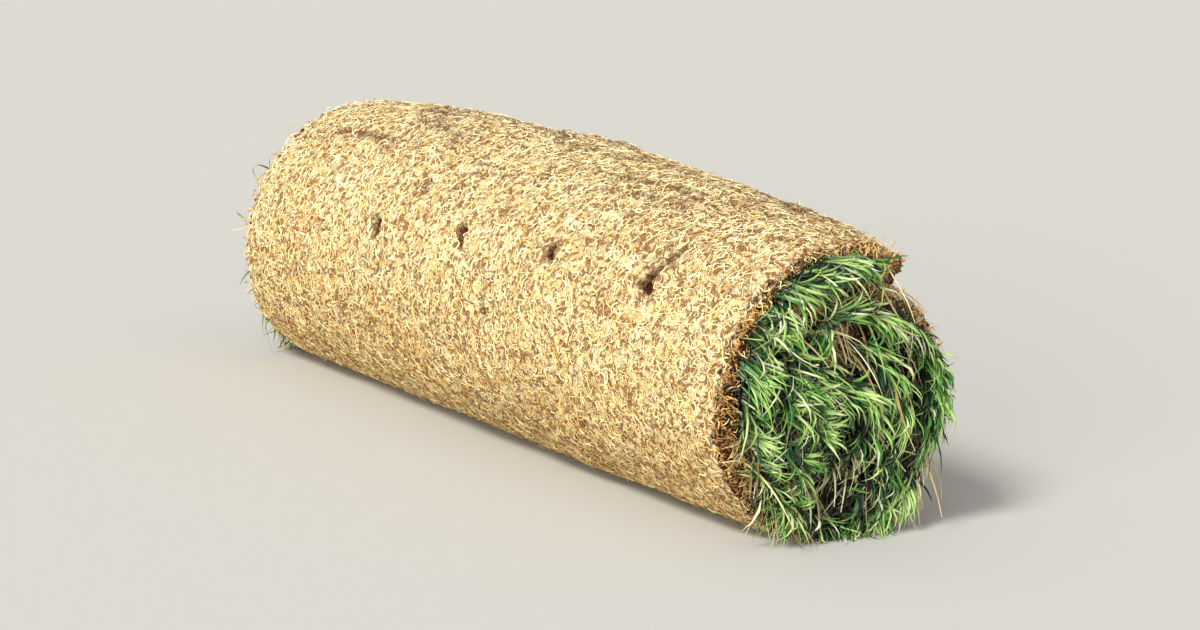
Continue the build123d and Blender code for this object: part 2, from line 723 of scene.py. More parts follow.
@dataclass
class Strands:
    """Many strands, each with its vectors in millimetres.

    Attributes:
        root: Where each starts.
        aim: Its way and length at first.
        edge: From its middle line to its edge.
        tone: From 0 to 1, for its colour.
        sag: How it bends, which grows with the square of the way along it.
        sway: A bend to one side and back to the other.
        hump: A bend that is greatest half way.
        crown: How far its middle line stands out of the plane of its edges.
        spread: Which way it is pushed where the floor stops it, for each millimetre that it is lifted.
    """

    root: Array
    aim: Array
    edge: Array
    tone: Array
    sag: Array | float = 0.0
    sway: Array | float = 0.0
    hump: Array | float = 0.0
    crown: Array | float = 0.0
    spread: Array | float = 0.0

    def point(self, along: float) -> Array:
        """The strands' middle lines at a share of the way along them, in millimetres."""
        return self.root + along * self.aim + along**2 * self.sag + math.sin(math.pi * along) * self.hump

    def shorten(self, allowance: float | Array) -> None:
        """Shortens the strands that would run too far below the floor.

        Args:
            allowance: How far below it they may run.
        """
        drop = np.maximum(self.root[:, 2] - self.point(1.0)[:, 2], 1e-6)
        share = np.clip((self.root[:, 2] + allowance) / drop, 0.25, 1)[:, None]
        self.aim = self.aim * share
        self.sag = self.sag * share

    def keep(self, kept: Array) -> "Strands":
        """The strands that a mask keeps."""
        values = {name: value[kept] if np.ndim(value) else value for name, value in vars(self).items()}
        return Strands(**values)

    def carrier(self, name: str) -> Mesh:
        """Makes a mesh of bare points that carry the strands' vectors in metres.

        Args:
            name: What the strands' piece is called.

        Returns:
            The mesh.
        """
        mesh = bpy.data.meshes.new(f"{name}_points")
        mesh.vertices.add(len(self.root))
        mesh.vertices.foreach_set("co", (self.root * MM).astype(np.float32).ravel())
        for bend, value in vars(self).items():
            if bend == "tone":
                layer = mesh.attributes.new(bend, "FLOAT", "POINT")
                layer.data.foreach_set("value", value.astype(np.float32))
            else:
                layer = mesh.attributes.new(bend, "FLOAT_VECTOR", "POINT")
                vectors = np.broadcast_to(value, self.root.shape) * (1.0 if bend == "spread" else MM)
                layer.data.foreach_set("vector", vectors.astype(np.float32).ravel())
        return mesh


class StrandTree:
    """Geometry Nodes that grow one bent ribbon on each point, from the vectors that the point carries."""

    def __init__(self) -> None:
        """Builds the tree."""
        sockets = (
            ("Points", "Geometry", None),
            ("Segments", "Int", 5),
            ("Columns", "Int", 2),
            ("Foot width", "Float", 0.6),
            ("Tip width", "Float", 0.1),
            ("Tip power", "Float", 2.0),
            ("Floor", "Float", 0.0006),
            ("Material", "Material", None),
        )
        self.tree, given = new_tree("grow_strands", sockets)
        ribbons, along, across = self.sow(given)
        width = self.taper(given, along)
        spot = self.bend(along, across, width)
        spot = self.land(given, spot)
        bent = add(self.tree, "GeometryNodeSetPosition", {"Geometry": ribbons, "Position": spot})
        dress = {"Geometry": bent, "Material": given["Material"]}
        add(self.tree, "NodeGroupOutput", (add(self.tree, "GeometryNodeSetMaterial", dress),))

    def sow(self, given: bpy.types.NodeOutputs) -> tuple[Node, Node, Node]:
        """Copies one flat ribbon, which has its own coordinates, to every point.

        Args:
            given: What the tree's inputs give.

        Returns:
            The ribbons, how far along them each place is, and how far across.
        """
        tree = self.tree
        rows = add(tree, "ShaderNodeMath", (given["Segments"], 1.0), operation="ADD")
        sizes = {"Size X": 2.0, "Size Y": 1.0, "Vertices X": given["Columns"], "Vertices Y": rows}
        ribbon = add(tree, "GeometryNodeMeshGrid", sizes)
        local = add(tree, "ShaderNodeSeparateXYZ", (add(tree, "GeometryNodeInputPosition"),)).outputs
        upward = add(tree, "ShaderNodeMath", (local["Y"], 0.5), operation="ADD")
        for name, value in (("across", local["X"]), ("along", upward)):
            kept = {"Geometry": ribbon, "Name": name, "Value": value}
            ribbon = add(tree, "GeometryNodeStoreNamedAttribute", kept, data_type="FLOAT", domain="POINT")
        planted = {"Points": given["Points"], "Instance": ribbon}
        planted = add(tree, "GeometryNodeInstanceOnPoints", planted)
        ribbons = add(tree, "GeometryNodeRealizeInstances", (planted,))
        along, across = (
            add(tree, "GeometryNodeInputNamedAttribute", {"Name": name}, data_type="FLOAT")
            for name in ("along", "across")
        )
        return ribbons, along, across

    def taper(self, given: bpy.types.NodeOutputs, along: Node) -> Node:
        """Makes a width that grows from the foot and tapers to the tip.

        Args:
            given: What the tree's inputs give.
            along: How far along the ribbon a place is.

        Returns:
            The share of the whole width that it has there.
        """
        tree = self.tree
        sharp = add(tree, "ShaderNodeMath", (along, given["Tip power"]), operation="POWER")
        narrow = add(tree, "ShaderNodeMath", (1.0, sharp), operation="SUBTRACT")
        rise = add(tree, "ShaderNodeMath", (along, 3.0), operation="MULTIPLY", use_clamp=True)
        wider = add(tree, "ShaderNodeMath", (1.0, given["Foot width"]), operation="SUBTRACT")
        belly = add(tree, "ShaderNodeMath", (rise, wider, given["Foot width"]), operation="MULTIPLY_ADD")
        width = add(tree, "ShaderNodeMath", (narrow, belly), operation="MULTIPLY")
        return add(tree, "ShaderNodeMath", (width, given["Tip width"]), operation="MAXIMUM")

    def bend(self, along: Node, across: Node, width: Node) -> Node:
        """Adds up the vectors that the points carry, each by how much of it a place on the ribbon takes.

        Args:
            along: How far along the ribbon the place is.
            across: How far across.
            width: The ribbon's width there.

        Returns:
            Where the place goes.
        """
        tree = self.tree
        whole = add(tree, "ShaderNodeMath", (along, 2 * math.pi), operation="MULTIPLY")
        half = add(tree, "ShaderNodeMath", (along, math.pi), operation="MULTIPLY")
        away = add(tree, "ShaderNodeMath", (across,), operation="ABSOLUTE")
        inner = add(tree, "ShaderNodeMath", (1.0, away), operation="SUBTRACT")
        factors = {
            "aim": along,
            "sag": add(tree, "ShaderNodeMath", (along, along), operation="MULTIPLY"),
            "sway": add(tree, "ShaderNodeMath", (whole,), operation="SINE"),
            "hump": add(tree, "ShaderNodeMath", (half,), operation="SINE"),
            "edge": add(tree, "ShaderNodeMath", (across, width), operation="MULTIPLY"),
            "crown": add(tree, "ShaderNodeMath", (inner, width), operation="MULTIPLY"),
        }
        carried = {
            name: add(tree, "GeometryNodeInputNamedAttribute", {"Name": name}, data_type="FLOAT_VECTOR")
            for name in ("root", *factors)
        }
        spot = carried["root"]
        for name, factor in factors.items():
            part = {0: carried[name], "Scale": factor}
            part = add(tree, "ShaderNodeVectorMath", part, operation="SCALE")
            spot = add(tree, "ShaderNodeVectorMath", (spot, part), operation="ADD")
        return spot

    def land(self, given: bpy.types.NodeOutputs, spot: Node) -> Node:
        """Lifts what would run below the floor onto it and pushes it aside.

        Args:
            given: What the tree's inputs give.
            spot: Where a place on the ribbon would go.

        Returns:
            Where it goes.
        """
        tree = self.tree
        level = add(tree, "ShaderNodeSeparateXYZ", (spot,)).outputs["Z"]
        under = add(tree, "ShaderNodeMath", (given["Floor"], level), operation="SUBTRACT")
        below = add(tree, "ShaderNodeMath", (under, 0.0), operation="MAXIMUM")
        spread = add(tree, "GeometryNodeInputNamedAttribute", {"Name": "spread"}, data_type="FLOAT_VECTOR")
        aside = {0: spread, "Scale": below}
        for part in (
            add(tree, "ShaderNodeCombineXYZ", {"Z": below}),
            add(tree, "ShaderNodeVectorMath", aside, operation="SCALE"),
        ):
            spot = add(tree, "ShaderNodeVectorMath", (spot, part), operation="ADD")
        return spot

    def grow(self, name: str, strands: Strands, values: dict) -> Object:
        """Grows strands into a plain mesh piece.

        Args:
            name: What the piece is called.
            strands: What each strand's point carries.
            values: The tree's inputs by name.

        Returns:
            The piece.
        """
        piece = grow(name, strands.carrier(name), self.tree, values)
        forget(piece, tuple(bend for bend in vars(strands) if bend != "tone"))
        return piece


@dataclass(frozen=True)
class RootMat:
    """The wound mat of soil and roots, with its outer face, its lip and the edges of its turns at both ends.

    Attributes:
        winding: How it is wound.
        rows_per_turn: Rows of faces round one turn.
        columns: Rows of faces along the roll.
        turns: How many turns show at the ends.
        layers: The insets of its vertices at the ends, from the outer face in to the next turn.
        rim: How far the outer edge is rounded.
        shoulder: How far the outer face falls away towards both ends.
        gap_depth: How far the grass gap is sunk between two turns.
        skin: How far in the unevenness of the outer face reaches.
        usual_radius: About how far the outer face is from the middle, which turns angles into lengths.
        ripple: How high the ripples are that the bend has drawn along the top.
        ripple_spacing: How wide they are.
        ripple_stretch: How many times as long as wide they are.
        top_angle: Where they are highest, round from +Y.
        top_reach: How far round from there they reach.
        pressed_height: How high above the floor the unevenness is pressed flat.
        tapers: How far the outer face falls away at the lip, each with how far round that reaches.
        swell_reach: How far beside a furrow the face stands up.
        slit_turn: How far round the slit under the lip runs in, in degrees.
        crowding: How many more rows and columns there are at a pit, as a share of the usual.
        crowd_reach: How far from a pit there are more, as a share of a turn and of the roll's length.
        reliefs: The seed, the spacing and the height of each scale of the outer face's unevenness.
        edge_reliefs: The same for the cut edges.
        pits: The pits in the outer face, with the row of four that shows most first.
        furrows: The tear, the long curved crease and the shorter ones.
        wrinkles: How many shallow wrinkles run along the top.
        bare: Patches of the near end where the near-black painted shade gives way and the brown dead grass
            shows.
    """

    winding: Winding
    rows_per_turn: int = 264
    columns: int = 236
    turns: float = 3.25
    layers: tuple[float, ...] = (0.0, 1.2, 3.0, 6.0, 9.0, 12.0, 14.5, 16.0, 17.5, 20.0, 22.5, 24.0)
    rim: float = 6.0
    shoulder: float = 3.0
    gap_depth: float = 9.0
    skin: float = 4.0
    usual_radius: float = 100.0
    ripple: float = 1.3
    ripple_spacing: float = 7.0
    ripple_stretch: float = 30.0
    top_angle: float = 100.0
    top_reach: float = 32.0
    pressed_height: float = 18.0
    tapers: tuple[tuple[float, float], ...] = ((4.5, 5.0), (1.6, 16.0))
    swell_reach: float = 18.0
    slit_turn: float = 10.0
    crowding: float = 1.1
    crowd_reach: tuple[float, float] = (0.025, 0.012)
    reliefs: tuple[tuple[int, float, float], ...] = (
        (11, 58, 2.0),
        (12, 24, 0.7),
        (13, 11, 0.35),
        (14, 5.5, 0.45),
        (15, 3.2, 0.4),
    )
    edge_reliefs: tuple[tuple[int, float, float], ...] = ((21, 5, 1.6), (22, 13, 1.5), (26, 34, 1.5))
    pits: tuple[Pit, ...] = (
        Pit(105, 147, 11.5, 14, 8.0),
        Pit(214, 148, 9.5, 12, 8.0),
        Pit(318, 151, 8.5, 15, 8.0),
        Pit(419, 158, 8.5, 14, 8.0),
        Pit(194, 131, 5.5, 6, 5.0),
        Pit(267, 177, 5, 10, 5.5),
        Pit(387, 139, 5, 12, 5.5),
        Pit(504, 92, 10, 5.5, 4.0),
    )
    furrows: tuple[Furrow, ...] = (
        Furrow(((105, 147), (102, 141), (98, 136), (94, 130)), 2.4, 4.0),
        Furrow(
            ((432, 123), (410, 118), (390, 110), (368, 99), (352, 88), (338, 78), (326, 69)),
            width=3.2,
            depth=4.2,
            swell=3.6,
            worn=0.3,
        ),
        Furrow(((470, 104), (448, 98), (425, 94)), 2.4, 2.4, 1.2),
        Furrow(((262, 84), (232, 88), (205, 87), (176, 91)), 2.2, 1.8, 1.0),
    )
    wrinkles: int = 15
    bare: tuple[Patch, ...] = ()

    @property
    def deepest(self) -> float:
        """The depth of the deepest pit."""
        return max(pit.depth for pit in self.pits)

    def drawn_wrinkles(self) -> tuple[Furrow, ...]:
        """Lays out the shallow wrinkles that the bend has drawn along the top of the roll.

        Returns:
            The wrinkles.
        """
        rng = np.random.default_rng(18)
        lines = []
        for _ in range(self.wrinkles):
            spots = rng.uniform(25, 500) + rng.uniform(12, 26) * np.arange(5)
            angles = rng.uniform(70, 124) + np.cumsum(rng.normal(0, 1.3, 5))
            angles = angles + rng.normal(0, 0.8) * np.arange(5)
            course = tuple((float(spot), float(angle)) for spot, angle in zip(spots, angles) if spot < 600)
            lines.append(Furrow(course, rng.uniform(2.0, 2.8), rng.uniform(1.5, 2.6), rng.uniform(0.3, 1.0)))
        return tuple(lines)

    def across(self, x: Array, turned: Array, mark: tuple[float, float]) -> tuple[Array, Array]:
        """Measures how far places on the outer face are from a mark.

        Args:
            x: Where they are along the roll.
            turned: How far round from the strip's outer end.
            mark: The mark's distance from the near end and its angle round from +Y.

        Returns:
            The distances along the roll and round it, in millimetres.
        """
        off_axis = self.winding.half - x - mark[0]
        off_round = np.radians(turned + self.winding.lip_angle - mark[1]) * self.winding.reach(x, turned, 0)
        return off_axis, off_round

    def hollow(self, x: Array, turned: Array) -> Array:
        """Measures how deep in a pit places on the outer face are.

        Args:
            x: Where they are along the roll.
            turned: How far round from the strip's outer end.

        Returns:
            The share of the deepest pit's depth that each has, from 0 to 1.
        """
        deepest = np.zeros(np.broadcast(x, turned).shape)
        for number, pit in enumerate(self.pits):
            off_axis, off_round = self.across(x, turned, (pit.distance, pit.angle))
            leaning = off_axis + 0.35 * off_round
            ragged = 1 + 0.25 * np.sin(3 * np.arctan2(off_round, off_axis) + number)
            out = np.hypot(leaning / (pit.width / 2), off_round / (pit.height / 2)) / ragged
            deepest = np.maximum(deepest, np.exp(-(out**4)) * pit.depth / self.deepest)
        return deepest

    def folded(self, x: Array, turned: Array) -> tuple[Array, Array, Array]:
        """Measures what the furrows do to places on the outer face.

        Args:
            x: Where they are along the roll.
            turned: How far round from the strip's outer end.

        Returns:
            How deep in a furrow each is, how far it stands up beside one, and how much of its depth is worn,
            in millimetres.
        """
        sunk, swollen, worn = np.zeros((3, *np.broadcast(x, turned).shape))
        for furrow in (*self.furrows, *self.drawn_wrinkles()):
            nearest = np.full(sunk.shape, 1e9)
            side = np.zeros(sunk.shape)
            for start, end in zip(furrow.course, furrow.course[1:]):
                start_x, start_y = self.across(x, turned, start)
                end_x, end_y = self.across(x, turned, end)
                run_x, run_y = start_x - end_x, start_y - end_y
                square = np.maximum(run_x**2 + run_y**2, 1e-9)
                share = np.clip((start_x * run_x + start_y * run_y) / square, 0, 1)
                gap_x, gap_y = start_x - share * run_x, start_y - share * run_y
                gap = np.hypot(gap_x, gap_y)
                side = np.where(gap < nearest, np.sign(gap_x * run_y - gap_y * run_x), side)
                nearest = np.minimum(gap, nearest)
            below = furrow.depth * np.exp(-((nearest / furrow.width) ** 2))
            sunk = sunk + below
            worn = worn + furrow.worn * below
            beside = np.exp(-((nearest / self.swell_reach) ** 2)) * (side > 0)
            swollen = swollen + furrow.swell * beside
        return sunk, swollen, worn

    def lift(self, x: Array, turned: Array) -> Array:
        """Measures how far places on the outer face stand out of the true spiral.

        Args:
            x: Where they are along the roll.
            turned: How far round from the strip's outer end.

        Returns:
            The height in millimetres, below 0 where the face is sunk.
        """
        base = self.winding.place(x, turned, 0)
        rough = sum(height * Relief(seed).at(base, spacing) for seed, spacing, height in self.reliefs)

        # Along the top the unevenness is drawn out into long ripples
        angle = turned + self.winding.lip_angle
        top = np.exp(-(((angle - self.top_angle) / self.top_reach) ** 2))
        along, round_it = base[..., 0] / self.ripple_stretch, np.radians(angle) * self.usual_radius
        drawn = np.stack([along, round_it, np.zeros_like(angle)], -1)
        rough = rough + self.ripple * top * Relief(16).at(drawn, self.ripple_spacing)

        # The floor presses it flat, and it falls away towards both ends of the roll and towards the lip
        sunk, swollen, _ = self.folded(x, turned)
        pressed = np.clip(base[..., 2] / self.pressed_height, 0.15, 1)
        from_end = self.winding.half - np.abs(x)
        rounded = self.shoulder * np.exp(-((from_end / 10) ** 2)) * (1 + 0.5 * Relief(17).at(base, 26))
        from_lip = np.radians(turned) * self.usual_radius
        tapered = sum(fall * np.exp(-((from_lip / reach) ** 2)) for fall, reach in self.tapers)
        height = (rough - sunk) * pressed + swollen - self.deepest * self.hollow(x, turned)
        return height - rounded * pressed - tapered

    def face(self, x: Array, turned: Array, above: float | Array = 0.0) -> Array:
        """Points on or above the outer face, in millimetres."""
        return self.winding.place(x, turned, -self.lift(x, turned) - above)

    def shape(self, x: Array, turned: Array, inset: Array) -> tuple[Array, dict[str, Array]]:
        """Finds the mat's vertices in space.

        Args:
            x: Where they are along the roll.
            turned: How far round from the strip's outer end.
            inset: How far in from the mat's outer face.

        Returns:
            Their coordinates in millimetres, and the marks that the finish reads.
        """
        winding = self.winding
        further = inset >= winding.pitch - 1e-6
        turned = np.where(further, turned + 360, turned)
        inset = np.where(further, inset - winding.pitch, inset)
        base = winding.place(x, turned, inset)
        shown = np.zeros(x.shape)
        for patch in self.bare:
            shown = np.maximum(shown, patch.cover(base) * (x > 0))

        # Where each vertex lies
        at_end = np.abs(x) > winding.half - self.rim + 0.1
        outside = (turned <= 360 + 1e-6) & (inset < self.skin)
        edge = (np.abs(x) > winding.half - self.rim - 0.1) & (inset < 0.1)
        inner_edge = (turned > 360) & (inset < 0.1)
        in_gap = (inset > winding.mat_thickness + 0.6) & (inset < winding.pitch - 0.1)
        slit = (turned < 1e-6) & in_gap & (np.abs(x) < winding.half - 12)
        wall = (turned < 1e-6) & ~in_gap & (inset > 0.5) & ~at_end

        # The ends are ragged: the gap and the rim are sunk, and so are the inner turns
        sunk = np.where(in_gap, self.gap_depth * (1 - 0.8 * shown), 0)
        sunk = sunk + np.where(np.abs(inset - winding.mat_thickness) < 0.5, 3.0, 0)
        sunk = sunk + self.rim - np.sqrt(self.rim**2 - np.clip(self.rim - inset, 0, self.rim) ** 2)
        for seed, spacing, height in self.edge_reliefs:
            sunk = sunk + height * (1 + Relief(seed).at(base, spacing))
        deeper = np.clip((turned - 300) / 120, 0, 1) * (2.0 + 1.5 * Relief(23).at(base, 40))
        sunk = np.where(at_end | inner_edge, (sunk + deeper) * (1 - 0.6 * shown), 0)

        # The lip's wall is ragged too, and the slit under it runs in between the turns
        ragged_wall = 1.1 * (1 + Relief(24).at(base, 9)) + 0.5 * Relief(25).at(base, 4)
        swing = np.where(slit, self.slit_turn, 0) + np.where(wall, ragged_wall, 0)
        raised = np.where(outside, self.lift(x, turned) * np.clip(1 - inset / self.skin, 0, 1), 0)
        spot = winding.place(x - np.sign(x) * sunk, turned + swing, inset - raised)

        # What the finish reads: the cut soil, the near-black painted shade of the thatch in the gaps and
        # inner turns, and the pits and worn furrows, painted dark as soil and shade
        ragged = np.clip(0.5 + 0.9 * Relief(27).at(base, 9), 0, 1)
        buried = np.clip((turned - 330) / 120, 0, 1) * (0.75 + 0.25 * Relief(28).at(base, 18))
        high = np.clip(base[..., 2] / 70 - 1, 0, 1) * (x > 0)
        on_cut = np.where(at_end & (inset < 2 + 7 * high), ragged * (1 - 0.5 * high), 1.0)
        on_cut = on_cut * (1 - 0.9 * shown)
        on_cut = np.where(at_end | wall | inner_edge | slit, on_cut, np.where(edge, 0.3 * ragged, 0.0))
        thatch_shade_mask = np.where(in_gap & (at_end | slit), 1.0, np.where(at_end | inner_edge, buried, 0.0))
        dark = np.clip(1.8 * self.hollow(x, turned) + 0.22 * self.folded(x, turned)[2], 0, 1)
        marks = {
            "cut": on_cut,
            "thatch": thatch_shade_mask * (1 - np.clip(1.5 * shown, 0, 1)),
            "pit": np.where(outside, dark, 0.0),
        }
        return spot, marks

    def crowd(self, steps: int, marks: list[float], reach: float) -> Array:
        """Spaces out places from 0 to 1 that lie closer together near some marks.

        Args:
            steps: How many gaps there are between the places.
            marks: Where the marks are.
            reach: How far each reaches.

        Returns:
            The places, one more than the gaps.
        """
        even = np.linspace(0, 1, 2001)
        wanted = 1 + sum(self.crowding * np.exp(-(((even - mark) / reach) ** 2)) for mark in marks)
        share = np.concatenate([[0], np.cumsum((wanted[1:] + wanted[:-1]) / 2)])
        return np.interp(np.linspace(0, share[-1], steps + 1), share, even)

    def net(self) -> tuple[Array, list[Array], list[tuple[int, Array]]]:
        """Lays out the mat's vertices in nets of four-sided faces that share their borders.

        Returns:
            Each vertex's place in the strip, the nets of vertex numbers, and for each end the side that it is
            on and the loop of vertices round its eye.
        """
        turn, last = self.rows_per_turn, int(self.turns * self.rows_per_turn)
        half, layers = self.winding.half, np.array(self.layers)
        depth = len(layers) - 1
        row = self.pits[:4]
        round_it = [(pit.angle - self.winding.lip_angle) % 360 / 360 for pit in row]
        along = [1 - pit.distance / self.winding.roll_length for pit in row]
        rows_at = self.crowd(turn, round_it, self.crowd_reach[0])
        stations = (2 * self.crowd(self.columns, along, self.crowd_reach[1]) - 1) * (half - self.rim)
        places: list[Array] = []

        def number(x: Array | float, rows: Array, inset: Array | float) -> Array:
            """Notes some vertices.

            Args:
                x: Where they are along the roll.
                rows: Which rows round it they are in.
                inset: How far in from the mat's outer face.

            Returns:
                Their numbers.
            """
            turned = 360.0 * (rows // turn + rows_at[rows % turn])
            spots = np.stack(np.broadcast_arrays(x, turned, inset), -1)
            count = sum(len(noted) for noted in places)
            places.append(spots.reshape(-1, 3))
            return count + np.arange(spots[..., 0].size).reshape(spots.shape[:-1])

        outer = number(stations, np.arange(turn + 1)[:, None], 0.0)
        lip = np.empty((depth + 1, len(stations)), int)
        lip[0], lip[depth] = outer[0], outer[turn]
        lip[1:depth, 1:-1] = number(stations[1:-1], np.zeros((1, 1), int), layers[1:depth, None])
        nets, loops = [outer], []
        for sign, column in ((-1, 0), (1, -1)):
            rim = sign * (half - self.rim)
            end = np.empty((last + 1, depth + 1), int)
            end[: turn + 1, 0] = outer[:, column]
            end[turn + 1 :, 0] = number(rim, np.arange(turn + 1, last + 1), 0.0)
            end[:, 1:depth] = number(sign * half, np.arange(last + 1)[:, None], layers[1:depth])
            end[: last + 1 - turn, depth] = end[turn:, 0]
            end[last + 1 - turn :, depth] = number(rim, np.arange(last + 1 - turn, last + 1), layers[depth])
            lip[1:depth, column] = end[0, 1:depth]
            nets.append(end)
            loops.append((sign, np.concatenate([end[last - turn :, depth], end[last, depth - 1 : 0 : -1]])))
        return np.concatenate(places), [*nets, lip], loops

    def build(self, material: Material) -> Object:
        """Makes the mat as one closed mesh.

        Args:
            material: Its finish.

        Returns:
            The mat.
        """
        places, nets, loops = self.net()
        spots, marks = self.shape(*places.T)
        faces = []
        for net in nets:
            corners = (net[:-1, :-1], net[1:, :-1], net[1:, 1:], net[:-1, 1:])
            faces += np.stack(corners, -1).reshape(-1, 4).tolist()
        # Each end's eye is closed with a fan painted with the near-black thatch shade
        for sign, loop in loops:
            centre = spots[loop].mean(0)
            centre[0] = sign * (self.winding.half - self.gap_depth)
            faces += [[int(a), int(b), len(spots)] for a, b in zip(loop, np.roll(loop, -1))]
            spots = np.concatenate([spots, centre[None]])
            marks = {name: np.append(values, float(name != "pit")) for name, values in marks.items()}
        mesh = bpy.data.meshes.new("root_mat")
        mesh.from_pydata((spots * MM).tolist(), [], faces)
        for name, values in marks.items():
            mesh.attributes.new(name, "FLOAT", "POINT").data.foreach_set("value", values.astype(np.float32))
        work = bmesh.new()
        work.from_mesh(mesh)
        bmesh.ops.recalc_face_normals(work, faces=work.faces)
        if work.calc_volume(signed=True) < 0:
            bmesh.ops.reverse_faces(work, faces=work.faces)
        work.to_mesh(mesh)
        work.free()
        mesh.shade_smooth()
        mesh.materials.append(material)
        return new_object("root_mat", mesh)


@dataclass(frozen=True)
class SurfaceRoots:
    """The dry roots that lie curled on the mat's outer face.

    Attributes:
        mat: What they lie on.
        count: How many there are.
        length: Their usual length.
        width: Their width, about twice the real one so that they show.
        lift: How far they arch off the face.
        tones: The two numbers of the beta distribution of their tones.
        seed: What their random numbers start from.
        curl: How far they bend aside, as a share of their length.
        wave: How far they bend to one side and back to the other, as a share of their length.
        paling: How much paler they are for each 100 mm that they lie above bleach_height, painted light from
            above as well as sun-bleaching.
        bleach_height: Where they begin to be painted paler.
        pit_limit: How far into a pit they may lie, where 1 is the deepest pit's floor.
        worn_limit: How far into a worn furrow they may lie.
    """

    mat: RootMat
    count: int
    length: float
    width: float
    lift: float
    tones: tuple[float, float]
    seed: int
    curl: float = 0.42
    wave: float = 0.17
    paling: float = 0.17
    bleach_height: float = 90.0
    pit_limit: float = 0.02
    worn_limit: float = 0.95

    def strands(self) -> Strands:
        """Lays the roots out over the outer face, and leaves out those that would cross a pit or worn furrow.

        Returns:
            Their strands.
        """
        rng = np.random.default_rng(self.seed)
        mat, winding, half, count = self.mat, self.mat.winding, self.mat.winding.half, self.count
        x = rng.uniform(-1, 1, count) * (half - 3)
        turned = rng.uniform(0, 356, count)
        root = mat.face(x, turned, rng.uniform(0.0, 0.4, count))
        outward = around(turned + winding.lip_angle)
        onward = np.cross(AXIS, outward)
        way = rng.uniform(0, 2 * np.pi, count)
        beside = -np.sin(way)[:, None] * AXIS + np.cos(way)[:, None] * onward
        length = self.length * rng.lognormal(0, 0.35, count)
        end_x = x + length * np.cos(way)
        end_turned = turned + np.degrees(length * np.sin(way) / winding.reach(x, turned, 0))
        end = mat.face(np.clip(end_x, 2 - half, half - 2), np.clip(end_turned, 0, 359), 0.3)
        clear = (np.abs(end_x) < half - 1) & (end_turned > 1) & (root[:, 2] > 0.5)
        for share in (0.0, 0.5, 1.0):
            spot = x + share * (end_x - x), turned + share * (end_turned - turned)
            clear &= (mat.hollow(*spot) < self.pit_limit) & (mat.folded(*spot)[2] < self.worn_limit)
        bend = rng.normal(0, self.curl, count) * length
        slim, tip = rng.uniform(0.6, 1.3, count)[:, None], rng.normal(0, 0.12, count)[:, None]
        # Higher up they are painted paler, as light from above as well as sun-bleaching
        paler = self.paling * np.maximum((root[:, 2] - self.bleach_height) / 100, -0.3)
        strands = Strands(
            root=root,
            aim=end - root,
            edge=beside * self.width / 2 * slim + outward * tip,
            tone=np.clip(rng.beta(*self.tones, count) + paler, 0, 1),
            sway=beside * (rng.normal(0, self.wave, count) * length)[:, None],
            hump=beside * bend[:, None] + outward * (rng.gamma(2.0, 0.5, count) * self.lift)[:, None],
        )
        return strands.keep(clear)


@dataclass(frozen=True)
class EdgeRoots:
    """The torn roots that stick out of the mat's cut edges and its lip.

    Attributes:
        mat: What they grow from.
        count: How many there are.
        length: Their usual length.
        width: Their width.
        on_lip: The share of them that grow from the lip.
        last: How far round from the strip's outer end they show.
        seed: What their random numbers start from.
    """

    mat: RootMat
    count: int = 4400
    length: float = 4.5
    width: float = 0.9
    on_lip: float = 0.2
    last: float = 420.0
    seed: int = 61

    def strands(self) -> Strands:
        """Lays the roots out along the edges.

        Returns:
            Their strands.
        """
        rng = np.random.default_rng(self.seed)
        winding, count = self.mat.winding, self.count
        sign = rng.choice([-1.0, 1.0], count)
        turned = rng.uniform(0, 1, count) ** 1.2 * self.last
        inset = rng.uniform(0, winding.mat_thickness, count)
        on_lip = rng.uniform(0, 1, count) < self.on_lip
        x = np.where(on_lip, rng.uniform(-300, 300, count), sign * (winding.half - 3.5))
        turned = np.where(on_lip, 0.3, turned)
        root = winding.place(x, turned, inset)
        outward = around(winding.lip_angle + turned)
        forward = sign[:, None] * AXIS
        first = np.where(on_lip[:, None], -np.cross(AXIS, outward), 0.6 * forward)
        aim = unit(first + rng.normal(0, 0.75, (count, 3))) * self.length
        aim = aim * rng.lognormal(0, 0.4, count)[:, None]
        beside = unit(np.cross(aim, outward + 0.01))
        sag = rng.normal(0, 0.4, (count, 3)) * self.length + DOWN
        # Higher up they are painted paler, as light from above
        strands = Strands(
            root=root,
            aim=aim,
            edge=beside * self.width / 2,
            tone=np.clip(rng.beta(1.3, 3.0, count) + 0.3 * np.clip(root[:, 2] / 100 - 1, 0, 1), 0, 1),
            sag=sag,
            sway=beside * rng.normal(0, 1.0, count)[:, None],
            hump=np.cross(unit(aim), beside) * rng.normal(0, 1.6, count)[:, None],
            spread=forward * 0.5,
        )
        strands.shorten(0.0)
        return strands.keep(on_lip | (winding.outside(strands.point(1.0)) < 0.8))


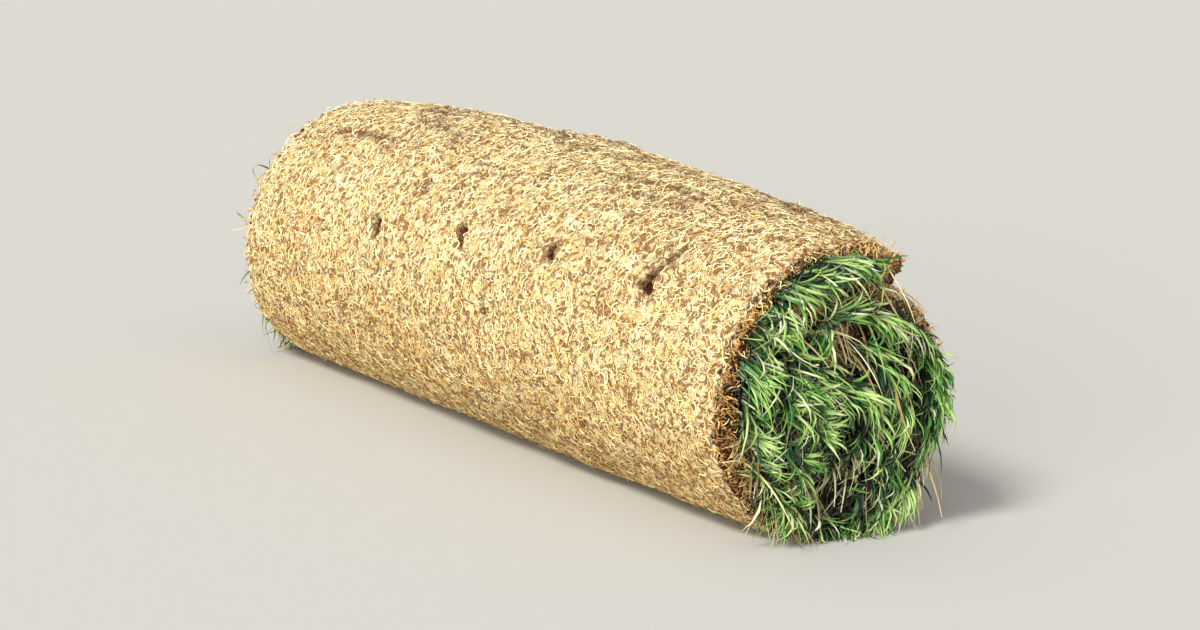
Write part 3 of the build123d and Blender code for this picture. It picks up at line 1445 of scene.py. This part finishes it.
@dataclass(frozen=True)
class Grass:
    """The blades that spring out of the grass gap at one end of the roll.

    Attributes:
        mat: What they grow between.
        end: Which end they are at.
        tufts: How many tufts they stand in.
        count: How many are sown.
        length: Their usual length.
        width: Their usual width.
        height: How far they may stand out of the mat's cut edge.
        overhang: How far they are pushed over the mat's edge at the top.
        tuft_spread: How far from a tuft's middle its blades grow.
        last: How far round from the strip's outer end they grow, in degrees.
        stray: The share of blades that lie every way.
        swings: How far those and the combed ones swing from the way of their tuft.
        lightest: The lightest tone of a living blade.
        dried: The share of the taller blades that have dried pale, which also serve as painted highlights.
        thinned: The share of blades that a bare patch leaves out.
        low_straws: The share of straws that hang out of the lower half.
        patch_edge: What a bare patch does at its edge.
        front_gap: How far in front of the cut edge a tip lies that counts as in front.
        front_height: How high above the floor it may be.
        front_bulge: How far outside the outer face such a strand may lie.
        middle_bulge: How far outside it the middle of any other may lie.
        tip_bulge: How far outside it the tip of any other may lie.
        seed: What their random numbers start from.
        bare: Patches where few blades lie.
        bright: Patches where the blades are lighter, or darker below 0.
    """

    mat: RootMat
    end: RollEnd
    tufts: int = 360
    count: int = 5400
    length: float = 22.0
    width: float = 1.9
    height: float = 27.0
    overhang: float = 11.0
    tuft_spread: float = 6.0
    last: float = 1150.0
    stray: float = 0.16
    swings: tuple[float, float] = (1.3, 0.24)
    lightest: float = 0.76
    dried: float = 0.17
    thinned: float = 0.93
    low_straws: float = 0.6
    patch_edge: float = 0.37
    front_gap: float = 4.0
    front_height: float = 14.0
    front_bulge: float = 16.0
    middle_bulge: float = 3.0
    tip_bulge: float = 2.0
    seed: int = 71
    bare: tuple[Patch, ...] = ()
    bright: tuple[Patch, ...] = ()

    @property
    def forward(self) -> Array:
        """The way that the blades spring out."""
        return float(self.end.value) * AXIS

    def within(self, strands: Strands) -> Array:
        """Finds the strands that stay inside the roll's outline, or end on the floor in front of it.

        Args:
            strands: The strands to look at.

        Returns:
            A mask of those to keep.
        """
        tip, winding = strands.point(1.0), self.mat.winding
        in_front = (tip @ self.forward > winding.half + self.front_gap) & (tip[:, 2] < self.front_height)
        middle_limit, tip_limit = (
            np.where(in_front, self.front_bulge, bulge) for bulge in (self.middle_bulge, self.tip_bulge)
        )
        bulging = winding.outside(strands.point(0.6)) > middle_limit
        return (winding.outside(tip) < tip_limit) & ~bulging

    def strands(self) -> Strands:
        """Sets tufts along the spiral, combs their blades round it and lets them sag.

        Returns:
            The blades' strands.
        """
        rng = np.random.default_rng(self.seed)
        winding, forward, count = self.mat.winding, self.forward, self.count
        half, middle = winding.half, winding.mat_thickness + winding.grass_gap / 2

        # The tufts stand evenly along the spiral, each with a habit of its own
        sown = rng.uniform(0, self.last, self.tufts * 4)
        wide = winding.reach(np.full(sown.shape, half), sown, middle)
        tuft = sown[rng.uniform(0, 90, sown.size) < np.maximum(wide, 9)][: self.tufts]
        habit = rng.normal(0, 1, (tuft.size, 7))
        member = rng.integers(0, tuft.size, count)
        arc = np.maximum(winding.reach(np.full(count, half), tuft[member], middle), 12)
        turned = tuft[member] + rng.normal(0, 1, count) * np.degrees(self.tuft_spread / arc)
        turned = np.clip(turned, 0, None)
        inset = middle + np.clip(2.0 * habit[member, 0] + rng.normal(0, 1.3, count), -5.5, 5.5)
        outward = around(winding.lip_angle + turned)
        inset = inset - self.overhang * np.clip(outward[:, 2], 0, 1) * (turned < 360)
        root = winding.place(forward[0] * (half - rng.uniform(1, 8, count)), turned, inset)

        # They are combed round the spiral and hang, at the left outward and at the bottom more loosely
        comb = np.cross(outward, AXIS)
        sides = (-outward[:, 1], outward[:, 2], -outward[:, 2])
        left, top, low = (np.clip(side, 0, 1)[:, None] for side in sides)
        way = comb * (1 - 0.6 * left) * (1 - 0.5 * low) + DOWN * (0.5 + 0.25 * left + 0.4 * low)
        own = rng.normal(0, 1, (count, 3))
        own = own * np.where(rng.uniform(0, 1, count) < self.stray, *self.swings)[:, None]
        past_lip = np.clip(1 - turned / 50, 0, 1)[:, None]
        way = way + outward * (0.1 * top - 0.85 * left * (1 - 0.9 * top)) + DOWN * past_lip
        way = way + (0.36 + 0.24 * low) * habit[member, 1:4] + own
        way[:, 0] = 0
        way = unit(way)

        # They stand out of the cut edge, lean over and sag, and lie flat round the bare patches
        length = self.length * np.exp(0.22 * habit[member, 4] + rng.normal(0, 0.16, count))[:, None]
        stand = np.clip(0.66 + 0.3 * habit[member, 5], 0.2, 1) * rng.uniform(0.65, 1.05, count)
        laid = np.ones(count)
        for patch in self.bare:
            laid = laid * (1 - 0.6 * Patch(patch.y, patch.z, 1.6 * patch.radius).cover(root))
        back = rng.uniform(0.45, 0.9, count)[:, None]
        lean = self.height * (stand * laid)[:, None] / (length * np.where(back > 0.5, 0.25 / back, 1 - back))
        turn = rng.normal(0, 0.1, (count, 3))
        aim = length * (forward * lean + way * 0.8 + turn)
        droop = DOWN * rng.uniform(0.0, 0.25, count)[:, None]
        sag = length * (-forward * lean * back + way * 0.2 + droop - turn * 0.6)
        flat = unit(np.cross(forward + rng.normal(0, 0.5, (count, 3)), way))
        width = self.width * rng.uniform(0.5, 1.2, count)[:, None]
        crown = unit(np.cross(flat, way)) * width * rng.uniform(-0.32, -0.12, count)[:, None]

        # Their tones are painted light and shade: those that stand out are painted light and those deep in
        # the gap dark, those at the bottom are darker, and some have dried pale, which also serve as painted
        # highlights
        tone = 1.32 * stand - 0.5 + 0.19 * habit[member, 6] + rng.normal(0, 0.19, count) - 0.18 * low[:, 0]
        tone = tone + 0.16 * Relief(29).at(root, 24) + sum(patch.cover(root) for patch in self.bright)
        dry = (rng.uniform(0, 1, count) < self.dried) & (stand > 0.3)
        tone = np.where(dry, rng.uniform(0.7, 1.0, count), np.minimum(tone, self.lightest))
        hump, sway = forward * rng.normal(0, 1.2, count)[:, None], rng.normal(0, 0.5, (count, 3))
        spread = forward * 0.7 + rng.normal(0, 0.35, (count, 3)) * np.array([0, 1, 0])
        strands = Strands(root, aim, flat * width / 2, np.clip(tone, 0, 1), sag, sway, hump, crown, spread)
        strands.shorten(rng.choice([4.0, 10.0, 20.0], count, p=[0.5, 0.3, 0.2]))
        kept = self.within(strands)
        for patch in self.bare:
            for share in (0.35, 0.6, 0.85):
                inside = patch.cover(strands.point(share)) > self.patch_edge
                kept &= ~(inside & (rng.uniform(0, 1, count) < self.thinned))
        return strands.keep(kept)

    def straws(self, count: int) -> Strands:
        """Sets dead blades and stems that hang out of the lower half and lie among the others.

        Args:
            count: How many are sown.

        Returns:
            Their strands.
        """
        rng = np.random.default_rng(self.seed + 5)
        winding, forward = self.mat.winding, self.forward
        low = rng.uniform(0, 1, count) < self.low_straws
        turned = np.where(low, rng.uniform(130, 290, count), rng.uniform(0, 1000, count))
        inset = winding.mat_thickness + rng.uniform(-3, 10, count)
        root = winding.place(forward[0] * (winding.half - 3), turned, inset)
        comb = np.cross(around(winding.lip_angle + turned), AXIS)
        way = unit(0.6 * comb + 0.9 * DOWN + rng.normal(0, 0.5, (count, 3)))
        length = rng.uniform(16, 44, count)[:, None]
        rise = rng.uniform(0.3, 0.75, count)[:, None]
        aim = length * (forward * rise + 0.7 * way)
        sag = length * (-forward * rise * rng.uniform(0.4, 0.9, count)[:, None] + 0.3 * way + 0.3 * DOWN)
        flat = unit(np.cross(forward + rng.normal(0, 0.4, (count, 3)), way))
        edge, tone = flat * rng.uniform(0.35, 0.8, count)[:, None], rng.uniform(0, 1, count)
        hump, sway = rng.normal(0, 1.5, (count, 3)), rng.normal(0, 1.0, (count, 3))
        spread = np.full((count, 1), 0.7) * forward
        strands = Strands(root, aim, edge, tone, sag, sway, hump, spread=spread)
        strands.shorten(6.0)
        return strands.keep(self.within(strands))


@dataclass(frozen=True)
class Crumbs:
    """Crumbs of soil that cling to the mat's cut edges.

    Attributes:
        density: How many there are on a square metre of cut edge.
        radius: Their usual radius.
        raggedness: How far noise pushes their surface about.
        seed: What their random numbers start from.
    """

    density: float = 200000.0
    radius: float = 1.5
    raggedness: float = 1.8
    seed: int = 81

    def tree(self) -> NodeTree:
        """Builds the geometry tree that strews the crumbs.

        Returns:
            The tree.
        """
        sockets = (
            ("Mat", "Geometry", None),
            ("Density", "Float", 1000.0),
            ("Crumb radius", "Float", 0.0015),
            ("Raggedness", "Float", 0.0018),
            ("Seed", "Int", 1),
            ("Material", "Material", None),
        )
        tree, given = new_tree("strew_crumbs", sockets)

        # They lie where the mat is cut and no painted thatch shade covers it
        bare = tuple(
            add(tree, "GeometryNodeInputNamedAttribute", {"Name": name}, data_type="FLOAT")
            for name in ("cut", "thatch")
        )
        bare = add(tree, "ShaderNodeMath", bare, operation="SUBTRACT", use_clamp=True)
        density = add(tree, "ShaderNodeMath", (bare, given["Density"]), operation="MULTIPLY")
        where = {"Mesh": given["Mat"], "Density": density, "Seed": given["Seed"]}
        points = add(tree, "GeometryNodeDistributePointsOnFaces", where)
        tone = add(tree, "FunctionNodeRandomValue", {"Seed": given["Seed"]}, data_type="FLOAT")
        kept = {"Geometry": points, "Name": "tone", "Value": tone}
        marked = add(tree, "GeometryNodeStoreNamedAttribute", kept, data_type="FLOAT", domain="POINT")

        # Each is a ball that is stretched and turned its own way
        ball = {"Radius": given["Crumb radius"], "Subdivisions": 1}
        crumb = add(tree, "GeometryNodeMeshIcoSphere", ball)
        sizes = {"Min": (0.45, 0.45, 0.45), "Max": (1.7, 1.5, 1.5), "Seed": 5}
        stretch = add(tree, "FunctionNodeRandomValue", sizes, data_type="FLOAT_VECTOR")
        turns = {"Min": (0.0, 0.0, 0.0), "Max": (6.28, 6.28, 6.28), "Seed": 6}
        turn = add(tree, "FunctionNodeRandomValue", turns, data_type="FLOAT_VECTOR")
        sown = {"Points": marked, "Instance": crumb, "Rotation": turn, "Scale": stretch}
        sown = add(tree, "GeometryNodeInstanceOnPoints", sown)
        real = add(tree, "GeometryNodeRealizeInstances", (sown,))

        # Noise makes them ragged, and none goes below the floor
        noise = add(tree, "ShaderNodeTexNoise", {"Scale": 420.0, "Detail": 1.0}).outputs["Color"]
        push = add(tree, "ShaderNodeVectorMath", (noise, (-0.5, -0.5, -0.5)), operation="ADD")
        push = add(tree, "ShaderNodeVectorMath", {0: push, "Scale": given["Raggedness"]}, operation="SCALE")
        ragged = add(tree, "GeometryNodeSetPosition", {"Geometry": real, "Offset": push})
        lowest = (add(tree, "GeometryNodeInputPosition"), (-9.0, -9.0, 0.0003))
        above = add(tree, "ShaderNodeVectorMath", lowest, operation="MAXIMUM")
        clear = add(tree, "GeometryNodeSetPosition", {"Geometry": ragged, "Position": above})
        dress = {"Geometry": clear, "Material": given["Material"]}
        add(tree, "NodeGroupOutput", (add(tree, "GeometryNodeSetMaterial", dress),))
        return tree

    def build(self, mat: Object, material: Material) -> Object:
        """Strews the crumbs over the mat's cut edges.

        Args:
            mat: The finished mat.
            material: The crumbs' finish.

        Returns:
            The piece.
        """
        values = {
            "Density": self.density,
            "Crumb radius": self.radius * MM,
            "Raggedness": self.raggedness * MM,
            "Seed": self.seed,
            "Material": material,
        }
        piece = grow("soil_crumbs", mat.data.copy(), self.tree(), values)
        forget(piece, ("cut", "thatch", "pit"))
        return piece


@dataclass(frozen=True)
class Lamp:
    """A soft lamp that lights the whole floor evenly from one side.

    Attributes:
        name: What it is called.
        place: A point that it shines from towards the roll, in metres.
        spread: How wide it looks from the roll, in degrees.
        strength: What it gives a face turned to it, in watts for each square metre.
        colour: Its hex colour.
    """

    name: str
    place: tuple[float, float, float]
    spread: float
    strength: float
    colour: str

    def build(self, aim: tuple[float, float, float]) -> None:
        """Adds the lamp.

        Args:
            aim: What it shines at, in metres.
        """
        data = bpy.data.lights.new(self.name, "SUN")
        data.angle = math.radians(self.spread)
        data.energy = self.strength
        data.color = linear(self.colour)[:3]
        lamp = new_object(self.name, data)
        lamp.location = self.place
        lamp.rotation_euler = (Vector(aim) - Vector(self.place)).to_track_quat("-Z", "Y").to_euler()


@dataclass(frozen=True)
class Studio:
    """The floor, the lamps and the camera.

    Attributes:
        azimuth: The camera's, in degrees, where 0 looks along +Y.
        elevation: The camera's, in degrees.
        tilt: How far the camera leans, in degrees.
        distance: From the camera to what it aims at, in metres.
        lens: On a sensor 36 mm wide.
        aim: What the camera looks at, in metres.
        floor_reach: From the middle of the floor to its edges, in metres.
        floor_colour: The plain floor's hex colour.
        sky_colour: The hex colour of the light from all round.
        sky_strength: How strong that light is.
        lamps: The lamps.
    """

    azimuth: float = 54.65
    elevation: float = 11.8
    tilt: float = 2.85
    distance: float = 2.91
    lens: float = 122.0
    aim: tuple[float, float, float] = (0.012, 0.016, 0.088)
    floor_reach: float = 40.0
    floor_colour: str = "#C2C2C0"
    sky_colour: str = "#F7F5F1"
    sky_strength: float = 0.6
    lamps: tuple[Lamp, ...] = (
        Lamp("key", (1.1, -4.0, 4.6), 16.0, 2.9, "#FFFAF1"),
        Lamp("fill", (1.9, -3.6, 0.9), 32.0, 1.75, "#FDFBF7"),
    )

    def floor(self) -> Object:
        """Makes the plain pale floor.

        Returns:
            The floor.
        """
        mesh = bpy.data.meshes.new("floor")
        reach = self.floor_reach
        corners = [(-reach, -reach, 0), (reach, -reach, 0), (reach, reach, 0), (-reach, reach, 0)]
        mesh.from_pydata(corners, [], [(0, 1, 2, 3)])
        material, _, shader = new_material("plain_floor", 0.9, 0.1)
        shader.inputs["Base Color"].default_value = linear(self.floor_colour)
        mesh.materials.append(material)
        return new_object("floor", mesh)

    def camera(self) -> None:
        """Sets the camera up."""
        turn, rise = math.radians(self.azimuth), math.radians(self.elevation)
        back = Vector((math.sin(turn) * math.cos(rise), -math.cos(turn) * math.cos(rise), math.sin(rise)))
        data = bpy.data.cameras.new("camera")
        data.lens = self.lens
        data.sensor_width = 36.0
        data.clip_end = 100.0
        camera = new_object("camera", data)
        spot = Matrix.Translation(Vector(self.aim) + back * self.distance)
        upright = back.to_track_quat("Z", "Y").to_matrix().to_4x4()
        camera.matrix_world = spot @ upright @ Matrix.Rotation(math.radians(self.tilt), 4, "Z")
        bpy.context.scene.camera = camera

    def build(self) -> None:
        """Sets the whole stage."""
        self.floor()
        world = bpy.data.worlds.new("studio")
        world.use_nodes = True
        sky = world.node_tree.nodes["Background"]
        sky.inputs["Color"].default_value = linear(self.sky_colour)
        sky.inputs["Strength"].default_value = self.sky_strength
        bpy.context.scene.world = world
        for lamp in self.lamps:
            lamp.build(self.aim)
        self.camera()
        bpy.context.scene.view_settings.view_transform = "Standard"


def main() -> None:
    """Builds the roll's pieces in order and reports each one."""
    logging.basicConfig(level=logging.INFO, format="%(message)s")
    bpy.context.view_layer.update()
    Studio().build()
    worn = (Patch(53, 160, 15), Patch(35, 171, 10), Patch(71, 144, 11), Patch(3, 130, 14), Patch(-32, 148, 9))
    bright = (
        Patch(15, 105, 26, 0.3),
        Patch(-63, 142, 15, 0.25),
        Patch(10, 185, 24, 0.25),
        Patch(-20, 50, 26, -0.15),
    )
    mat = RootMat(Winding(), bare=worn)
    near = Grass(mat, RollEnd.NEAR, bare=(*worn, Patch(-14, 34, 9)), bright=bright)
    far = Grass(
        mat,
        RollEnd.FAR,
        tufts=260,
        count=6000,
        length=26.0,
        width=1.8,
        height=26.0,
        overhang=4.0,
        seed=91,
    )
    pale = SurfaceRoots(mat, count=24500, length=7.0, width=0.85, lift=0.4, tones=(4.2, 1.6), seed=51)
    # The dark roots are painted shade: dark strokes that stand for the shadows between clumps of roots, and
    # dusty roots as well
    dark = SurfaceRoots(mat, count=6500, length=7.5, width=0.75, lift=0.15, tones=(1.4, 3.8), seed=52)
    body = mat.build(RootMatFinish().build())
    pieces = [body, Crumbs().build(body, CrumbFinish().build())]
    trees = StrandTree()
    roots, straw = ROOTS.build(), STRAW.build()
    blade = {"Segments": 5, "Columns": 3, "Foot width": 0.7, "Tip width": 0.08, "Tip power": 3.2}
    thread = {"Segments": 4, "Columns": 2, "Foot width": 0.8, "Tip width": 0.25, "Tip power": 4.0}
    stem = {**thread, "Segments": 6}
    for name, strands, values, material in (
        ("pale_surface_roots", pale.strands(), thread, roots),
        ("dark_surface_roots", dark.strands(), thread, roots),
        ("edge_roots", EdgeRoots(mat).strands(), thread, roots),
        ("near_grass", near.strands(), blade, NEAR_GRASS.build()),
        ("far_grass", far.strands(), blade, FAR_GRASS.build()),
        ("near_straws", near.straws(900), stem, straw),
        ("far_straws", far.straws(600), stem, straw),
    ):
        pieces.append(trees.grow(name, strands, {**values, "Material": material}))
    for piece in pieces:
        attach(piece, "root")
        piece.data.calc_loop_triangles()
        log.info("%s: %d triangles", piece.name, len(piece.data.loop_triangles))
    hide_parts("turf_roll")


if __name__ == "__main__":
    main()
